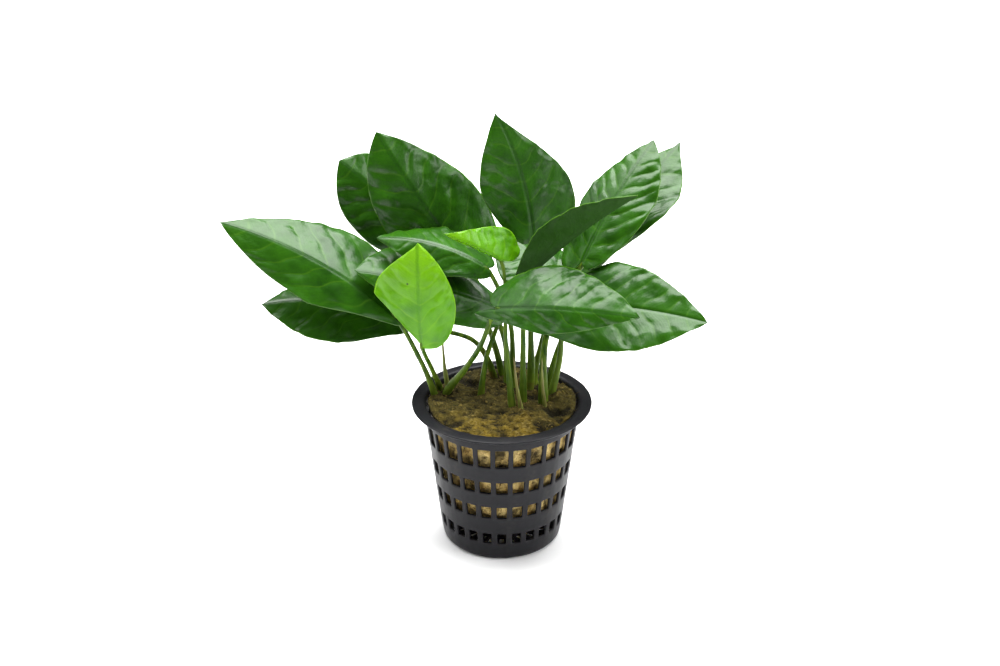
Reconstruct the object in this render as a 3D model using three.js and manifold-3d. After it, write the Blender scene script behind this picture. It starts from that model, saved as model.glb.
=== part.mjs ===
// Potted anubias: a small net pot, its mineral-wool plug, the creeping rhizome with its roots,
// and fifteen leaves, each a blade on its own petiole. Millimetres, +Z up. The origin is the
// centre of the pot's base, on the surface it stands on. The plant's best side faces -Y.
import * as THREE from 'three';
import { ParametricGeometry } from 'three/addons/geometries/ParametricGeometry.js';
import { mergeVertices } from 'three/addons/utils/BufferGeometryUtils.js';
import Module from 'manifold-3d';

// ---- Net pot ---------------------------------------------------------------------------------
const potHeight = 47;
const potTopRadius = 24.6; // outside of the wall, just under the rim
const potBaseRadius = 18.8;
const potWall = 0.9;
const potFloor = 1.2;
const potCorner = 1.5; // rounding between the wall and the floor
const rimReach = 3.6; // how far the rim stands out from the wall
const rimDrop = 0.4; // how far the rim's outer edge lies below its inner one
const rimThickness = 0.9;
const slotsAround = 27;
const slotRows = [ // middle is how far up the pot the row stands, as a share of its height
  { middle: 0.173, height: 3.7, width: 2.6 },
  { middle: 0.388, height: 4.1, width: 3.0 },
  { middle: 0.588, height: 4.1, width: 3.5 },
  { middle: 0.819, height: 6.2, width: 3.9 },
];
const floorSlotCount = 18;
const floorSlotWidth = 1.8;
const floorSlotInner = 7.5;
const floorSlotMargin = 3.2; // solid ring between the floor slots and the wall

// ---- Mineral-wool plug -----------------------------------------------------------------------
const woolClearance = 0.5; // from the pot's wall
const woolBottom = 12.6;
const woolDrop = 1.4; // its lumpy top lies this far below the rim
const woolLump = 1.1;
const woolEdge = 1.2; // how far the top rounds down towards the pot

// ---- Rhizome and roots -----------------------------------------------------------------------
const gap = 0.3; // between pieces that touch
const rhizomeDepth = 5.4; // of its centreline below the top of the wool
const rhizomeRadius = 3.4;
const branchRadius = 2.9;
const rootRadius = 0.65;
const rootEnd = 3.4; // height of the root tips above the surface the pot stands on

// ---- Leaves ----------------------------------------------------------------------------------
const bladeThickness = 0.7;
const bladeRows = 10; // grid lines from the sinus to the tip
const bladeColumns = 3; // cells from the midrib to each margin
const petioleSides = 6;
const petioleSteps = 8;
const petioleRise = 0.6; // height above the wool of the point where a petiole leaves it
const petioleSetback = 0.4; // of its top end from the blade's base, away from the tip

// What every blade has unless its own entry says otherwise. Pairs give the left half first, seen
// from above with the tip ahead. arch and sway bow the midrib up and sideways, as shares of the
// blade's length. fold tilts each half up (+) or down (-) at the base and foldTip at the tip,
// and curl goes on bending it, all in degrees. wave is the height of the margin's ripples, waves
// their number. lobe is how far each half reaches back past the petiole, widest where along the
// blade it is widest, and blunt how full it stays towards the tip. uneven makes the right half
// wider and the left narrower, and taper turns a rounded lobe into a wedge.
const typicalBlade = {
  arch: 0.05, sway: 0, fold: [-12, -12], curl: [-9, -9], wave: 0.5, waves: 2.2, phase: 0,
  lobe: [0.1, 0.1], widest: [0.38, 0.38], blunt: [0.42, 0.42], uneven: 0, taper: [0, 0],
};

// Each leaf: base is where the petiole meets the blade, tip the blade's point, and roll turns
// the blade about the line between them. foot is where the petiole leaves the wool, across and
// back from the middle in shares of the plug's radius, through the points it passes, and stem its
// radius at each end. Heights are above the rim.
const leaves = [
  { name: 'left_large', base: [-32.3, 3, 26.5], tip: [-85.5, 12, 54], width: 31, roll: -40,
    sway: 0.04, fold: [-14, -18], wave: 0.7, waves: 2.5, phase: 0.4, lobe: [0.08, 0.22],
    widest: [0.42, 0.34], blunt: [0.5, 0.3], uneven: 0.2, taper: [0.9, 0],
    foot: [-0.921, 0.204], through: [[-24.7, 3.9, 10]], stem: [1.0, 0.8] },
  { name: 'left_low', base: [-31, 14, 19.5], tip: [-74, 8, 28.5], width: 28, roll: -24,
    arch: 0.06, sway: 0.06, fold: [-14, -14], wave: 0.6, phase: 2.0,
    widest: [0.45, 0.42], blunt: [0.62, 0.5], taper: [0.7, 0],
    foot: [-0.104, 0.695], through: [[-9, 16, 12.5]], stem: [1.0, 0.75] },
  { name: 'back_left', base: [-22, 38, 38.2], tip: [-51.5, 38, 65.2], width: 29, roll: -58,
    arch: 0.04, fold: [-10, -14], wave: 0.6, phase: 1.0,
    widest: [0.45, 0.45], blunt: [0.75, 0.75],
    foot: [0.004, 0.773], through: [[-5.5, 21, 18]], stem: [1.0, 0.75] },
  { name: 'upper_left', base: [-10.6, 24, 34.7], tip: [-38.5, 28, 77.5], width: 33, roll: -64,
    sway: -0.02, fold: [-10, -12], wave: 0.7, waves: 2.5,
    widest: [0.42, 0.33], blunt: [0.74, 0.36], uneven: 0.11,
    foot: [0.087, 0.582], through: [[0.5, 14.6, 15]], stem: [1.2, 0.8] },
  { name: 'middle_left', base: [-4.4, 5.5, 41.8], tip: [-38, 11, 49.2], width: 24, roll: -14,
    arch: 0.1, fold: [-35, -12], waves: 2, phase: 0.8, uneven: 0.26, taper: [0.4, 0],
    foot: [0.143, 0.43], through: [[2.6, 8.6, 22]], stem: [1.05, 0.75] },
  { name: 'young_front', base: [-23.9, -12, 23.5], tip: [-24.4, -9, 55.2], width: 25, roll: -20,
    arch: 0.04, fold: [-6, -10], curl: [-10, -16], wave: 0.4, waves: 1.5, phase: 0.5,
    lobe: [0.05, 0.05], widest: [0.5, 0.38], blunt: [0.2, 0.5], uneven: -0.14, taper: [1.35, 0],
    foot: [-0.851, 0.343], through: [[-21.3, 1, 9]], stem: [0.95, 0.75] },
  { name: 'young_centre', base: [-0.1, -1, 46.4], tip: [-17.2, -4, 56.4], width: 14.5, roll: -60,
    arch: 0.06, fold: [-110, 0], foldTip: [-90, 0], wave: 0.4, waves: 2.5, phase: 0.5,
    lobe: [0, 0.3], widest: [0.3, 0.12], blunt: [0.3, 0], uneven: 0.34,
    foot: [0.139, -0.191], through: [[1.3, -3.4, 20]], stem: [1.1, 0.55] },
  { name: 'top', base: [9.5, 12.5, 48.4], tip: [-1.9, 16.5, 86.7], width: 29, roll: -52,
    arch: 0.02, sway: 0.05, fold: [-4, -4], curl: [-4, -4], wave: 0.5, waves: 1.6,
    lobe: [0.06, 0.08], widest: [0.42, 0.25], blunt: [0.36, 0], uneven: 0.08, taper: [0.5, 0],
    foot: [0.391, 0.434], through: [[9, 11, 24]], stem: [1.2, 0.8] },
  { name: 'folded', base: [6.4, 3, 38.7], tip: [38.8, -8, 69.5], width: 18.5, roll: 0,
    arch: 0.03, fold: [40, 55], foldTip: [45, 50], curl: [10, 10], wave: 0.3, waves: 1.5,
    lobe: [0.08, 0.08], uneven: 0.14, taper: [0.8, 0.8],
    foot: [0.287, -0.017], through: [[6.5, -0.6, 20]], stem: [1.15, 0.8] },
  { name: 'upper_right', base: [24.6, 10, 42.3], tip: [47, 30, 74.2], width: 25, roll: 8,
    fold: [-8, -8], curl: [-8, -8], wave: 0.6, waves: 2.5,
    lobe: [0.2, 0.1], widest: [0.36, 0.45], blunt: [0.42, 0.62], taper: [0, 0.3],
    foot: [0.56, 0.009], through: [[13.4, 3.4, 18], [18.4, 10.4, 32.5]], stem: [1.4, 0.85] },
  { name: 'back_right', base: [28.4, 22, 33.4], tip: [56.9, 44, 69.3], width: 28, roll: 10,
    fold: [-8, 40], foldTip: [-8, -15], curl: [-8, -8],
    widest: [0.5, 0.5], blunt: [0.15, 0.3], uneven: 0.03, taper: [0, 0.65],
    foot: [0.651, 0.43], through: [[18, 12, 12]], stem: [1.1, 0.8] },
  { name: 'front_right', base: [-1.5, -12, 36], tip: [38.8, -28, 40], width: 23, roll: 50,
    arch: 0.08, fold: [-12, -14], lobe: [0.12, 0.3],
    widest: [0.3, 0.36], blunt: [0.5, 0.3], uneven: -0.34, taper: [0.3, 0.6],
    foot: [-0.756, 0.208], through: [[-11.7, -0.6, 10], [-6.4, -7, 21.5]], stem: [1.2, 0.75] },
  { name: 'right_low', base: [19.4, 4, 29.9], tip: [60.3, -14, 32.2], width: 30.6, roll: 38,
    arch: 0.08, fold: [8, 6], curl: [-8, -10], wave: 0.6, lobe: [0.05, 0.3],
    widest: [0.3, 0.42], blunt: [0.36, 0.4], uneven: 0.02, taper: [0.55, 0],
    foot: [0.677, 0.156], through: [[18, 4.6, 11]], stem: [1.2, 0.8] },
  { name: 'centre_shaded', base: [-0.6, 8, 27.5], tip: [-44.5, 5, 41], width: 26, roll: -36,
    arch: 0.06, waves: 2, widest: [0.38, 0.5], blunt: [0.4, 0.95], uneven: 0.2,
    taper: [0, 0.7],
    foot: [-0.282, 0.156], through: [[-4.8, 4, 12]], stem: [1.05, 0.75] },
  { name: 'back_centre', base: [18, 17.5, 31.4], tip: [-0.5, 38, 41.5], width: 26, roll: -10,
    fold: [-10, -10], curl: [-8, -8], wave: 0.4, waves: 2,
    foot: [0.452, 0.643], through: [[13, 16, 13]], stem: [1.1, 0.8] },
].map((leaf) => ({ ...typicalBlade, foldTip: leaf.fold ?? typicalBlade.fold, ...leaf }));

// Sheaths: the dry, pointed scales that once wrapped a young leaf. foot is as for a leaf, rise how
// far the point stands from it.
const sheathDepth = 1.6; // of its foot below the top of the wool
const sheaths = [
  { name: 'sheath_left', foot: [-0.73, 0.382], rise: [-1.8, 1, 20.5], radius: 0.95 },
  { name: 'sheath_front', foot: [0.278, -0.243], rise: [-2.8, -1, 20.5], radius: 0.8 },
  { name: 'sheath_right', foot: [0.591, -0.143], rise: [-1.4, -0.3, 19], radius: 0.75 },
];

// ---- Materials -------------------------------------------------------------------------------
const material = (color, roughness) => new THREE.MeshStandardMaterial({ color, roughness, metalness: 0 });
const paint = {
  pot: () => material(0x1d1e20, 0.42),
  wool: () => material(0x8a7434, 0.95),
  rhizome: () => material(0x4f5a2a, 0.7),
  root: () => material(0xb9a676, 0.8),
  blade: () => material(0x1f5a26, 0.32),
  youngBlade: () => material(0x7fc21a, 0.4),
  petiole: () => material(0x4c6b28, 0.45),
  sheath: () => material(0x8b7a45, 0.75),
};

// ---- Solids ----------------------------------------------------------------------------------
const wasm = await Module();
wasm.setup();

const radians = THREE.MathUtils.degToRad;
const aboveRim = ([x, y, z]) => new THREE.Vector3(x, y, potHeight + z);

// Joins the shared vertices of a closed shell and drops the triangles that this collapses.
function welded(geometry) {
  geometry.deleteAttribute('normal');
  geometry.deleteAttribute('uv');
  const merged = mergeVertices(geometry, 1e-4);
  const corners = merged.index.array;
  const kept = [];
  for (let i = 0; i < corners.length; i += 3) {
    const [a, b, c] = [corners[i], corners[i + 1], corners[i + 2]];
    if (a !== b && b !== c && c !== a) kept.push(a, b, c);
  }
  merged.setIndex(kept);
  return merged;
}

function toSolid(geometry) {
  const shell = welded(geometry);
  return new wasm.Manifold(new wasm.Mesh({
    numProp: 3,
    vertProperties: new Float32Array(shell.attributes.position.array),
    triVerts: new Uint32Array(shell.index.array),
  }));
}

function toGeometry(solid) {
  const mesh = solid.getMesh();
  const geometry = new THREE.BufferGeometry();
  geometry.setAttribute('position', new THREE.BufferAttribute(mesh.vertProperties, mesh.numProp));
  geometry.setIndex(new THREE.BufferAttribute(mesh.triVerts, 1));
  return geometry;
}

// A round tube through some points, from one radius to another. A positive extra makes it that
// much larger all over, ends included, which is the shape cut out of whatever surrounds it.
function tube(points, [startRadius, endRadius], sides, steps, extra = 0) {
  const route = points.map((point) => point.clone());
  const last = route.length - 1;
  route[0].addScaledVector(points[0].clone().sub(points[1]).normalize(), extra);
  route[last].addScaledVector(points[last].clone().sub(points[last - 1]).normalize(), extra);
  const curve = new THREE.CatmullRomCurve3(route, false, 'centripetal');
  const outline = new THREE.Shape();
  outline.absarc(0, 0, 1, 0, 2 * Math.PI);
  const options = { steps, extrudePath: curve, curveSegments: sides / 2 };
  const geometry = new THREE.ExtrudeGeometry(outline, options);
  const stations = curve.getSpacedPoints(steps);
  const spot = new THREE.Vector3();
  const { position } = geometry.attributes;
  for (let i = 0; i < position.count; i += 1) {
    spot.fromBufferAttribute(position, i);
    let nearest = 0;
    for (let k = 1; k <= steps; k += 1) {
      if (spot.distanceTo(stations[k]) < spot.distanceTo(stations[nearest])) nearest = k;
    }
    const radius = THREE.MathUtils.lerp(startRadius, endRadius, nearest / steps) + extra;
    spot.sub(stations[nearest]).multiplyScalar(radius).add(stations[nearest]);
    position.setXYZ(i, spot.x, spot.y, spot.z);
  }
  return toSolid(geometry);
}

const group = new THREE.Group();

function addMesh(name, geometry, finish) {
  const mesh = new THREE.Mesh(geometry, finish);
  mesh.name = name;
  group.add(mesh);
}

// ---- Net pot ---------------------------------------------------------------------------------
const wallRadius = (z) => potBaseRadius + ((potTopRadius - potBaseRadius) * z) / potHeight;
const pitch = (2 * Math.PI) / slotsAround;

// One turned shell: a floor, a tapered wall and a nearly flat rim round its top.
function potShell() {
  const rimRadius = potTopRadius + rimReach;
  const rimEdge = potHeight - rimDrop;
  const rimFoot = rimEdge - 1.6 * rimThickness;
  const outline = [
    [0, 0],
    [potBaseRadius - potCorner, 0],
    [potBaseRadius - 0.3 * potCorner, 0.3 * potCorner],
    [wallRadius(potCorner), potCorner],
    [wallRadius(rimFoot), rimFoot],
    [rimRadius - 0.6 * rimThickness, rimEdge - rimThickness],
    [rimRadius, rimEdge - 0.5 * rimThickness],
    [rimRadius - 0.4 * rimThickness, rimEdge],
    [potTopRadius + 0.25 * rimReach, potHeight],
    [potTopRadius - 0.2 * potWall, potHeight - 0.3 * rimDrop],
    [wallRadius(rimFoot) - potWall, rimFoot],
    [wallRadius(potFloor) - potWall, potFloor],
    [0, potFloor],
  ];
  const points = outline.map(([r, z]) => new THREE.Vector2(r, z));
  const shell = new THREE.LatheGeometry(points, slotsAround);
  shell.rotateX(Math.PI / 2);
  return toSolid(shell);
}

// Boxes that pass through the wall, one ring for each row of slots.
function slotCutters() {
  const boxes = [];
  for (const { middle, height, width } of slotRows) {
    const z = middle * potHeight;
    for (let i = 0; i < slotsAround; i += 1) {
      const box = new THREE.BoxGeometry(width, 6 * potWall, height);
      box.translate(0, -wallRadius(z), z);
      box.rotateZ((i + 0.5) * pitch);
      boxes.push(box);
    }
  }
  for (let i = 0; i < floorSlotCount; i += 1) {
    const length = potBaseRadius - floorSlotMargin - floorSlotInner;
    const box = new THREE.BoxGeometry(floorSlotWidth, length, 3 * potFloor);
    box.translate(0, -floorSlotInner - length / 2, 0.5 * potFloor);
    box.rotateZ((2 * Math.PI * i) / floorSlotCount);
    boxes.push(box);
  }
  return boxes.map(toSolid);
}

const pot = potShell().subtract(wasm.Manifold.union(slotCutters()));
addMesh('net_pot', toGeometry(pot), paint.pot());

// ---- Rhizome ---------------------------------------------------------------------------------
// The creeping stem lies just under the top of the wool, with one side branch to the back.
const woolTop = potHeight - woolDrop;
const rhizomeLevel = woolTop - rhizomeDepth;
const plugRadius = wallRadius(woolTop) - potWall - woolClearance;

// A place in the plug: across and back are shares of the plug's radius at its top.
const inPlug = (across, back, z) => new THREE.Vector3(across * plugRadius, back * plugRadius, z);

const stemLine = [
  inPlug(-0.80, 0.24, rhizomeLevel + 0.8),
  inPlug(-0.56, 0.18, rhizomeLevel),
  inPlug(-0.28, 0.12, rhizomeLevel - 0.6),
  inPlug(0.14, 0.02, rhizomeLevel - 0.4),
  inPlug(0.52, 0.04, rhizomeLevel),
  inPlug(0.69, 0.20, rhizomeLevel + 0.4),
  inPlug(0.67, 0.36, rhizomeLevel + 0.8),
  inPlug(0.60, 0.52, rhizomeLevel + 1.2),
];
const branchLine = [
  inPlug(0.34, 0.06, rhizomeLevel - 0.4),
  inPlug(0.26, 0.34, rhizomeLevel),
  inPlug(0.10, 0.60, rhizomeLevel + 0.8),
  inPlug(-0.05, 0.74, rhizomeLevel + 1.4),
];
const rhizomeGrownBy = (extra) => tube(stemLine, [rhizomeRadius, rhizomeRadius - 0.6], 10, 13, extra)
  .add(tube(branchLine, [branchRadius, branchRadius - 0.5], 8, 7, extra));
addMesh('rhizome', toGeometry(rhizomeGrownBy(0)), paint.rhizome());
const aroundRhizome = rhizomeGrownBy(gap);

// ---- Roots -----------------------------------------------------------------------------------
// They leave the underside of the rhizome, run down through the wool and end below it.
const rootSpots = [
  { from: [-0.72, 0.22], to: [-0.52, 0.16] },
  { from: [-0.40, 0.14], to: [-0.34, -0.22] },
  { from: [-0.04, 0.06], to: [-0.02, 0.20] },
  { from: [0.30, 0.04], to: [0.34, -0.30] },
  { from: [0.58, 0.08], to: [0.50, 0.18] },
  { from: [0.14, 0.52], to: [0.10, 0.44] },
];
const cutters = []; // everything that the wool has room made for
rootSpots.forEach(({ from, to }, i) => {
  const route = [
    inPlug(from[0], from[1], rhizomeLevel - 1),
    inPlug(from[0], from[1], rhizomeLevel - rhizomeRadius - 3),
    inPlug(0.7 * from[0] + 0.3 * to[0], 0.4 * from[1] + 0.6 * to[1], 0.5 * (rhizomeLevel + rootEnd)),
    inPlug(to[0], to[1], rootEnd),
  ];
  const radii = [rootRadius, 0.6 * rootRadius];
  const root = tube(route, radii, 6, 8).subtract(aroundRhizome);
  addMesh(`root_${i + 1}`, toGeometry(root), paint.root());
  cutters.push(tube(route, radii, 6, 8, gap));
});

// ---- Blades ----------------------------------------------------------------------------------
// A blade's outline, flat: from the notch at the petiole round one lobe, out to its widest place
// and in to the point. Lengths are shares of the blade's length, widths of its half width.
const shoulder = 0.3; // the share of the grid rows that the lobe takes
const lobeRoom = 0.2; // how far behind the petiole a wedge closes, as a share of the length

function marginPoint(lobe, widest, blunt, u) {
  if (u < shoulder) {
    const t = u / shoulder;
    const s = 1 - t;
    const along = 3 * s * s * t * (-1.5 * lobe) + 3 * s * t * t * (widest - 0.38) + t ** 3 * widest;
    return [along, 3 * s * s * t * 0.3 + 3 * s * t * t + t ** 3];
  }
  const t = (u - shoulder) / (1 - shoulder);
  const s = 1 - t;
  const along = s ** 3 * widest + 3 * s * s * t * (widest + 0.24) + 3 * s * t * t * 0.88 + t ** 3;
  return [along, s ** 3 + 3 * s * s * t + 3 * s * t * t * blunt];
}

// The blade's own directions: along it, across it and out of its upper face.
function bladeFrame(leaf) {
  const base = aboveRim(leaf.base);
  const chord = aboveRim(leaf.tip).sub(base);
  const length = chord.length();
  const along = chord.normalize();
  const face = new THREE.Vector3(0, 0, 1).addScaledVector(along, -along.z).normalize();
  face.applyAxisAngle(along, radians(leaf.roll));
  const across = new THREE.Vector3().crossVectors(along, face);
  return { base, length, along, across, face };
}

// The place on a blade's middle surface at row u, from the midrib (v = 0) to either margin
// (v = -1 left, 1 right), lifted off that surface by the given height.
function bladePoint(leaf, frame, u, v, lift) {
  const hand = v < 0 ? 0 : 1;
  const side = v < 0 ? -1 : 1;
  const reach = Math.abs(v);
  const [edge, spread] = marginPoint(leaf.lobe[hand], leaf.widest[hand], leaf.blunt[hand], u);
  const wedge = THREE.MathUtils.clamp((edge + lobeRoom) / (leaf.widest[hand] + lobeRoom), 0, 1);
  const out = spread * reach * THREE.MathUtils.lerp(1, wedge, leaf.taper[hand]);
  const share = u + (edge - u) * reach ** 1.15;
  const bend = 4 * share * (1 - share);
  const near = THREE.MathUtils.clamp(share, 0, 1);
  const fold = THREE.MathUtils.lerp(leaf.fold[hand], leaf.foldTip[hand], near);
  const tilt = radians(fold + 0.5 * leaf.curl[hand] * out);
  const ripple = leaf.wave * out * out * Math.sin(2 * Math.PI * leaf.waves * share + leaf.phase + side);
  const half = 0.5 * leaf.width * (1 + side * leaf.uneven);
  const upright = frame.face.clone().addScaledVector(frame.along, leaf.arch * (8 * share - 4)).normalize();
  const lean = tilt * Math.min(1, 4 * out); // none along the midrib, where the halves meet
  const aside = side * (half * out * Math.cos(tilt) - lift * Math.sin(lean));
  return frame.base.clone()
    .addScaledVector(frame.along, share * frame.length)
    .addScaledVector(frame.face, frame.length * leaf.arch * bend)
    .addScaledVector(frame.across, frame.length * leaf.sway * bend + aside)
    .addScaledVector(upright, half * out * Math.sin(tilt) + ripple + lift * Math.cos(lean));
}

// One closed skin round each section: over the top from the left margin to the right, down the
// edge, back underneath and up the other edge.
function bladeGeometry(leaf) {
  const frame = bladeFrame(leaf);
  const cells = 2 * bladeColumns;
  const slices = 2 * cells + 2;
  const skin = (across, along, target) => {
    const k = Math.round(across * slices) % slices;
    const onTop = k <= cells;
    const v = onTop ? k / bladeColumns - 1 : 1 - (k - cells - 1) / bladeColumns;
    const lift = (onTop ? 0.5 : -0.5) * bladeThickness;
    target.copy(bladePoint(leaf, frame, along, v, lift));
  };
  return welded(new ParametricGeometry(skin, slices, bladeRows));
}

// ---- Petioles --------------------------------------------------------------------------------
// Each rises from inside the rhizome, through the wool, and ends just under its blade's base.
function nearestOnRhizome(place) {
  const spots = [stemLine, branchLine].flatMap((line) => new THREE.CatmullRomCurve3(line).getPoints(40));
  return spots.reduce((best, spot) => (spot.distanceTo(place) < best.distanceTo(place) ? spot : best));
}

function petioleRoute(leaf) {
  const frame = bladeFrame(leaf);
  const foot = inPlug(leaf.foot[0], leaf.foot[1], woolTop + petioleRise);
  const start = nearestOnRhizome(foot);
  const aside = foot.clone().sub(start).setZ(0).clampLength(0, 0.75 * branchRadius);
  const joint = frame.base.clone()
    .addScaledVector(frame.face, -0.5 * bladeThickness - 1.5 * gap - leaf.stem[1])
    .addScaledVector(frame.along, -petioleSetback);
  return [start.add(aside), foot, ...leaf.through.map(aboveRim), joint];
}

for (const leaf of leaves) {
  const young = leaf.name.startsWith('young');
  addMesh(`blade_${leaf.name}`, bladeGeometry(leaf), young ? paint.youngBlade() : paint.blade());
  const route = petioleRoute(leaf);
  const petiole = tube(route, leaf.stem, petioleSides, petioleSteps).subtract(aroundRhizome);
  addMesh(`petiole_${leaf.name}`, toGeometry(petiole), paint.petiole());
  cutters.push(tube(route, leaf.stem, petioleSides, petioleSteps, gap));
}

// ---- Sheaths ---------------------------------------------------------------------------------
for (const { name, foot, rise, radius } of sheaths) {
  const start = inPlug(foot[0], foot[1], woolTop - sheathDepth);
  const end = start.clone().add(new THREE.Vector3(...rise));
  const middle = start.clone().lerp(end, 0.5).add(new THREE.Vector3(-0.4, 0, 0));
  const route = [start, middle, end];
  const radii = [radius, 0.2 * radius];
  addMesh(name, toGeometry(tube(route, radii, 6, 5)), paint.sheath());
  cutters.push(tube(route, radii, 6, 5, gap));
}

// ---- Mineral wool ----------------------------------------------------------------------------
// A tapered plug. Its skin runs from the middle of its underside out to its lower edge, up its
// side and in over its lumpy top, all the way round.
const woolBase = 0.2; // shares of the skin: the underside ends here
const woolSide = 0.5; // and the side here

function woolGeometry() {
  const skin = (round, profile, target) => {
    const angle = 2 * Math.PI * (round % 1);
    let radius = wallRadius(woolBottom) - potWall - woolClearance;
    let z = woolBottom;
    if (profile <= woolBase) {
      radius *= profile / woolBase;
    } else if (profile <= woolSide) {
      z += ((woolTop - woolEdge - woolBottom) * (profile - woolBase)) / (woolSide - woolBase);
      radius = wallRadius(z) - potWall - woolClearance;
    } else {
      const inward = (profile - woolSide) / (1 - woolSide);
      radius = plugRadius * (1 - inward);
      const lumps = Math.sin(3 * angle + 0.6) + 0.7 * Math.sin(5 * angle - 1.2) * (1 - inward);
      z = woolTop - woolEdge * (1 - inward) ** 4 + woolLump * lumps * inward * (1 - inward) * 1.6;
    }
    target.set(radius * Math.sin(angle), -radius * Math.cos(angle), z);
  };
  return new ParametricGeometry(skin, 30, 15);
}

const wool = toSolid(woolGeometry())
  .subtract(aroundRhizome)
  .subtract(wasm.Manifold.union(cutters));
addMesh('mineral_wool', toGeometry(wool), paint.wool());

export default group;
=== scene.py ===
import math

import bmesh
import bpy
import numpy as np
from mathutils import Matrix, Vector, noise


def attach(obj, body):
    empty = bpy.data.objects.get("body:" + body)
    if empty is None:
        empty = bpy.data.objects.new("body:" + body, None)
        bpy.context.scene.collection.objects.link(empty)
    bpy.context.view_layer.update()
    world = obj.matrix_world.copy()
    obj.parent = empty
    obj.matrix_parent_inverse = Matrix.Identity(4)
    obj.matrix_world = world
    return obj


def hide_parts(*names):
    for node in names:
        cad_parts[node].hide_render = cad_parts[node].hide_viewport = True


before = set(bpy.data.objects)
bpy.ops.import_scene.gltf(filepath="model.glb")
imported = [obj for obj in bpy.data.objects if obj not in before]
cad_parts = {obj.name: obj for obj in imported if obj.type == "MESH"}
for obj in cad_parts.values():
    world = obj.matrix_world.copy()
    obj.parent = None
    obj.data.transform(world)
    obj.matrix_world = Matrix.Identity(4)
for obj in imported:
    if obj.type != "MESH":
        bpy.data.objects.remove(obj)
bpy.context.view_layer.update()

# ---- Net pot ---------------------------------------------------------------------------------
# The basket is black polypropylene, moulded in one piece: a tapered wall with four rings of
# slots, radial slots in the floor, and a flat rim. One sector of each is turned into a full ring.

MM = 0.001
POT_HEIGHT = 47
POT_TOP_RADIUS = 24.6
POT_BASE_RADIUS = 18.8
POT_WALL = 0.9
SLOTS_AROUND = 27
SLOT_ROWS = [(6.3, 3.7, 2.6), (16.2, 4.1, 3.0), (25.6, 4.1, 3.5), (35.4, 6.2, 3.9)]  # bottom, height, width
SLOT_LIP = 0.32  # the cage's supporting loop beside each slot edge
RIM_CENTRE_LINE = [(23.85, 44.2), (23.95, 45.6), (24.15, 46.3), (24.6, 46.5), (25.5, 46.5),
                   (26.6, 46.4), (27.4, 46.35), (27.7, 46.3), (27.85, 46.1)]
FLOOR_LEVEL = 0.55  # of the middle of the floor's thickness
FOOT_CENTRE_LINE = [(17.2, FLOOR_LEVEL), (17.9, FLOOR_LEVEL), (18.35, 0.9)]
WALL_LOOPS = {1.9, 11.5, 22, 32.5}  # heights of loops between the rings of slots
FLOOR_SLOTS = 18
FLOOR_SLOT_WIDTH = 1.8
FLOOR_SLOT_START = 7.5
FLOOR_SLOT_END = 15.6
FLOOR_RINGS = [0, 4, 7.2, FLOOR_SLOT_START, 7.8, 11.5, 15.3, FLOOR_SLOT_END, 15.9, 17.6]
FLOOR_ZONE = 0.8  # faces below this height are the floor's
RIM_ZONE = 45  # and above this the rim's
WELD = 0.02


class Value:
    """One value in a node tree. Python's operators on it add the Math nodes."""

    def __init__(self, tree, socket):
        self.tree = tree
        self.socket = socket

    def math(self, operation, first, second=None):
        node = self.tree.nodes.new("ShaderNodeMath")
        node.operation = operation
        for socket, value in zip(node.inputs, (first, second)):
            if isinstance(value, Value):
                self.tree.links.new(value.socket, socket)
            elif value is not None:
                socket.default_value = value
        return Value(self.tree, node.outputs[0])

    def __add__(self, other):
        return self.math("ADD", self, other)

    def __radd__(self, other):
        return self.math("ADD", other, self)

    def __sub__(self, other):
        return self.math("SUBTRACT", self, other)

    def __rsub__(self, other):
        return self.math("SUBTRACT", other, self)

    def __mul__(self, other):
        return self.math("MULTIPLY", self, other)

    def __rmul__(self, other):
        return self.math("MULTIPLY", other, self)

    def __truediv__(self, other):
        return self.math("DIVIDE", self, other)


class Nodes:
    """A node tree that is built one node at a time."""

    def __init__(self, tree):
        self.tree = tree

    def node(self, kind, settings=None, inputs=None, out=0):
        made = self.tree.nodes.new(kind)
        for name, value in (settings or {}).items():
            if name == "stops":
                ramp = made.color_ramp
                while len(ramp.elements) < len(value):
                    ramp.elements.new(0.5)
                for element, (place, colour) in zip(ramp.elements, value):
                    element.position = place
                    element.color = colour
            else:
                setattr(made, name, value)
        for name, value in (inputs or {}).items():
            self.feed(made.inputs[name], value)
        return Value(self.tree, made.outputs[out])

    def feed(self, socket, value):
        if isinstance(value, Value):
            self.tree.links.new(value.socket, socket)
        else:
            socket.default_value = value


class Finish(Nodes):
    """A material: one Principled shader, and the nodes that vary it over the surface."""

    def __init__(self, name, constants):
        self.material = bpy.data.materials.new(name)
        self.material.use_nodes = True
        super().__init__(self.material.node_tree)
        self.shader = self.tree.nodes["Principled BSDF"]
        for socket, value in constants.items():
            self.shader.inputs[socket].default_value = value
        self.place = self.node("ShaderNodeTexCoord", out="Object")

    def noise(self, scale, detail=2.0, stretch=(1, 1, 1)):
        spread = self.node("ShaderNodeMapping", {}, {"Vector": self.place, "Scale": stretch})
        return self.node("ShaderNodeTexNoise", {}, {"Vector": spread, "Scale": scale, "Detail": detail})

    def ramp(self, value, low, high):
        """0 below low, 1 above high, and even between them."""
        return self.node("ShaderNodeMapRange", {}, {"Value": value, "From Min": low, "From Max": high})

    def blend(self, mask, first, second):
        """The first colour where the mask is 0 and the second where it is 1."""
        return self.node("ShaderNodeMix", {"data_type": "RGBA"}, {0: mask, 6: first, 7: second}, out=2)

    def bump(self, height, distance, strength=1.0):
        inputs = {"Height": height, "Distance": distance, "Strength": strength}
        self.feed(self.shader.inputs["Normal"], self.node("ShaderNodeBump", {}, inputs))

    def show(self, socket, value):
        self.feed(self.shader.inputs[socket], value)


def rgb(red, green, blue):
    return (red, green, blue, 1.0)


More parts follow.
